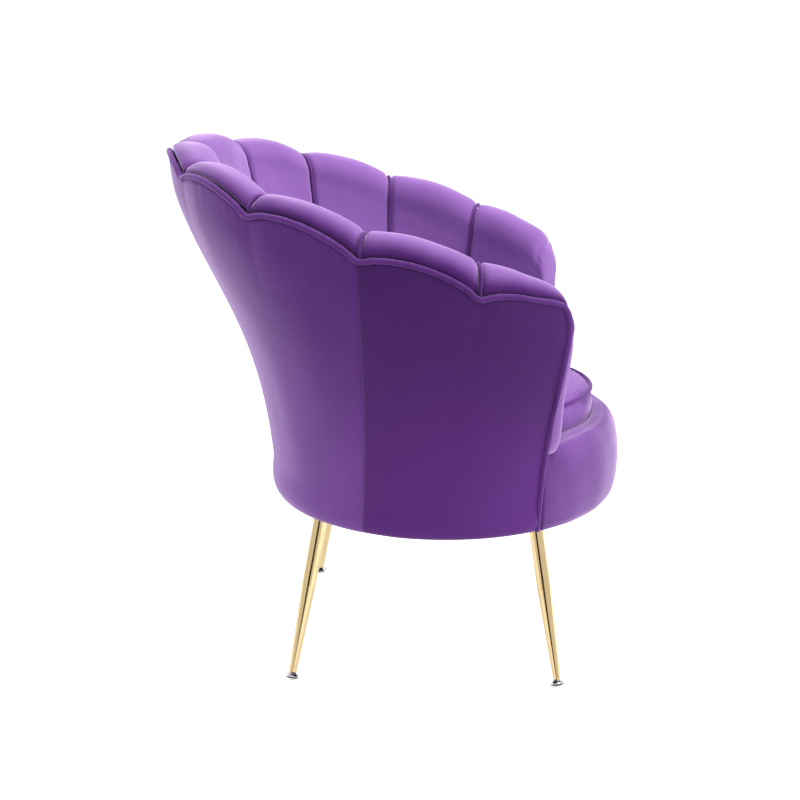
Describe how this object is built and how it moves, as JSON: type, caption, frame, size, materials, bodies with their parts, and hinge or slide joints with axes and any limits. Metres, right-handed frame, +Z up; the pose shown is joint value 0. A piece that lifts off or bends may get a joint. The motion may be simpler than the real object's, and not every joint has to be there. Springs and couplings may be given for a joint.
{
  "type": "scallop back tub chair",
  "caption": "Velvet tub armchair with a flared scalloped channel-tufted back, welted rim, loose round cushion, padded seat front and splayed tapered legs on levelling glides.",
  "frame": {"origin": "on the floor, under the middle of the chair's overall box", "axes": "+Z up, -Y the front of the chair, +X to the right of a viewer who stands in front of the chair"},
  "size_m": [0.7008, 0.668, 0.7563],
  "materials": {
    "velvet": "short-pile velvet",
    "velvet_cord": "velvet covered welt cord",
    "gold": "polished pale gold plating on steel tube",
    "glide": "bright plated",
    "sole": "matte",
    "wood": "raw plywood",
    "board": "fibre board",
    "foam": "open cell foam",
    "lining": "non-woven",
    "zip": "coil zip",
    "steel": "zinc plated"
  },
  "bodies": {
    "chair": {"arm_facing_left": "velvet", "arm_facing_right": "velvet", "arm_front_post_left": "wood", "arm_front_post_right": "wood", "back_post_left": "wood", "back_post_right": "wood", "channel_cords": "velvet_cord", "channel_pad_left_1": "velvet", "channel_pad_left_2": "velvet", "channel_pad_left_3": "velvet", "channel_pad_left_4": "velvet", "channel_pad_left_5": "velvet", "channel_pad_right_1": "velvet", "channel_pad_right_2": "velvet", "channel_pad_right_3": "velvet", "channel_pad_right_4": "velvet", "channel_pad_right_5": "velvet", "deck_foam": "foam", "deck_sheet": "lining", "dust_cover": "lining", "foot_inserts": "steel", "frame_blocks": "wood", "front_border_cover": "velvet", "front_border_foam": "foam", "front_rail": "wood", "inner_shell": "wood", "leg_plates": "steel", "leg_screws": "steel", "leg_tube_front_left": "gold", "leg_tube_front_right": "gold", "leg_tube_rear_left": "gold", "leg_tube_rear_right": "gold", "outer_liner": "board", "outside_back_panel": "velvet", "outside_side_panel_left": "velvet", "outside_side_panel_right": "velvet", "rim_cord": "velvet_cord", "rim_rail": "wood", "seat_ring_lower": "wood", "seat_ring_upper": "wood", "seat_springs": "steel", "side_post_left": "wood", "side_post_right": "wood", "spring_clips": "steel"},
    "cushion": {"cushion_band": "velvet", "cushion_bottom_panel": "velvet", "cushion_cord_bottom": "velvet_cord", "cushion_cord_top": "velvet_cord", "cushion_core": "foam", "cushion_top_panel": "velvet", "cushion_zip": "zip"},
    "leveller_rear_left": {"glide_rear_left": "glide", "glide_sole_rear_left": "sole"},
    "leveller_rear_right": {"glide_rear_right": "glide", "glide_sole_rear_right": "sole"},
    "leveller_front_left": {"glide_front_left": "glide", "glide_sole_front_left": "sole"},
    "leveller_front_right": {"glide_front_right": "glide", "glide_sole_front_right": "sole"}
  },
  "joints": [
    {"name": "leveller_rear_left_screw_out", "type": "slide", "parent": "chair", "child": "leveller_rear_left", "axis": [-0.2479, 0.1673, -0.9542], "range_m": [0, 0.008]},
    {"name": "leveller_rear_right_screw_out", "type": "slide", "parent": "chair", "child": "leveller_rear_right", "axis": [0.2479, 0.1673, -0.9542], "range_m": [0, 0.008]},
    {"name": "leveller_front_left_screw_out", "type": "slide", "parent": "chair", "child": "leveller_front_left", "axis": [-0.2868, -0.1475, -0.9466], "range_m": [0, 0.008]},
    {"name": "leveller_front_right_screw_out", "type": "slide", "parent": "chair", "child": "leveller_front_right", "axis": [0.2868, -0.1475, -0.9466], "range_m": [0, 0.008]},
    {"name": "cushion_lift_out", "type": "slide", "parent": "chair", "child": "cushion", "axis": [0, 0, 1], "range_m": [0, 0.3]}
  ]
}
